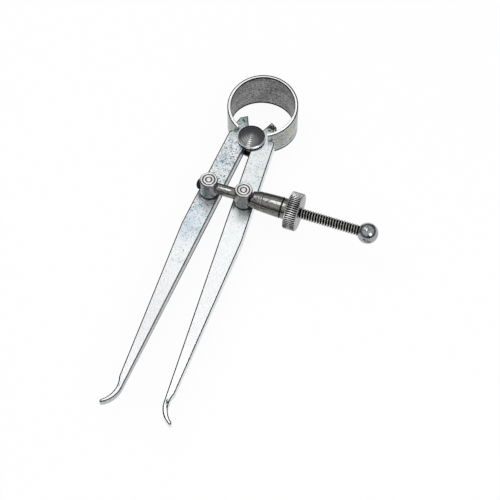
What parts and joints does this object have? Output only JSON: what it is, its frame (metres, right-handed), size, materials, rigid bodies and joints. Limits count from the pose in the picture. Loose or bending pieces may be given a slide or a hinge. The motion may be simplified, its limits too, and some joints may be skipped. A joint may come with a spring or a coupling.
{
  "type": "inside spring caliper",
  "caption": "Inside caliper with two hooked flat legs on a fulcrum stud, closed by a round bow spring and set by a screw with a knurled nut.",
  "frame": {"origin": "centre of the round bow, at the level of the rear edge that the caliper rests on", "axes": "+X along the adjusting screw towards its ball, -Y from the bow towards the feet, +Z from the rear rim towards the front, along the swing axis of the legs"},
  "size_m": [0.076, 0.1548, 0.0232],
  "materials": {
    "leg_steel": "bright polished flat steel",
    "spring_steel": "polished spring strip",
    "turned_steel": "turned steel with fine rings",
    "dark_steel": "dark blued steel, semi-gloss",
    "ball_chrome": "mirror polished"
  },
  "bodies": {
    "bow": {"bow_spring": "spring_steel", "fulcrum_stud": "dark_steel", "fulcrum_rear_cap": "dark_steel"},
    "left_leg_body": {"left_leg": "leg_steel"},
    "right_leg_body": {"right_leg": "leg_steel"},
    "screw_post": {"left_post": "turned_steel", "left_post_washer": "turned_steel", "adjusting_screw": "dark_steel", "ball_end": "ball_chrome"},
    "sleeve_post": {"right_post": "turned_steel", "right_post_washer": "turned_steel", "thrust_sleeve": "dark_steel"},
    "nut": {"adjusting_nut": "turned_steel"}
  },
  "joints": [
    {"name": "right_leg_swing", "type": "hinge", "parent": "bow", "child": "right_leg_body", "pos_m": [0, -0.0139, 0.009], "axis": [0, 0, 1], "range_deg": [-3.4, 20.01], "deforming": ["bow_spring"]},
    {"name": "left_leg_swing", "type": "hinge", "parent": "bow", "child": "left_leg_body", "pos_m": [0, -0.0139, 0.009], "axis": [0, 0, 1], "range_deg": [-20.01, 3.4], "deforming": ["bow_spring"]},
    {"name": "left_post_swivel", "type": "hinge", "parent": "left_leg_body", "child": "screw_post", "pos_m": [-0.00716, -0.04333, 0.009], "axis": [0, 0, 1], "range_deg": [-3.4, 20.01]},
    {"name": "right_post_swivel", "type": "hinge", "parent": "right_leg_body", "child": "sleeve_post", "pos_m": [0.00716, -0.04333, 0.009], "axis": [0, 0, 1], "range_deg": [-20.01, 3.4]},
    {"name": "nut_turn", "type": "hinge", "parent": "sleeve_post", "child": "nut", "pos_m": [0.025, -0.04333, 0.0157], "axis": [1, 0, 0], "range_deg": [-1180, 6990]}
  ],
  "couplings": [
    {"joint": "right_leg_swing", "follows": "nut_turn", "ratio": 0.0028611},
    {"joint": "left_leg_swing", "follows": "nut_turn", "ratio": -0.0028611},
    {"joint": "left_post_swivel", "follows": "nut_turn", "ratio": 0.0028611},
    {"joint": "right_post_swivel", "follows": "nut_turn", "ratio": -0.0028611}
  ]
}
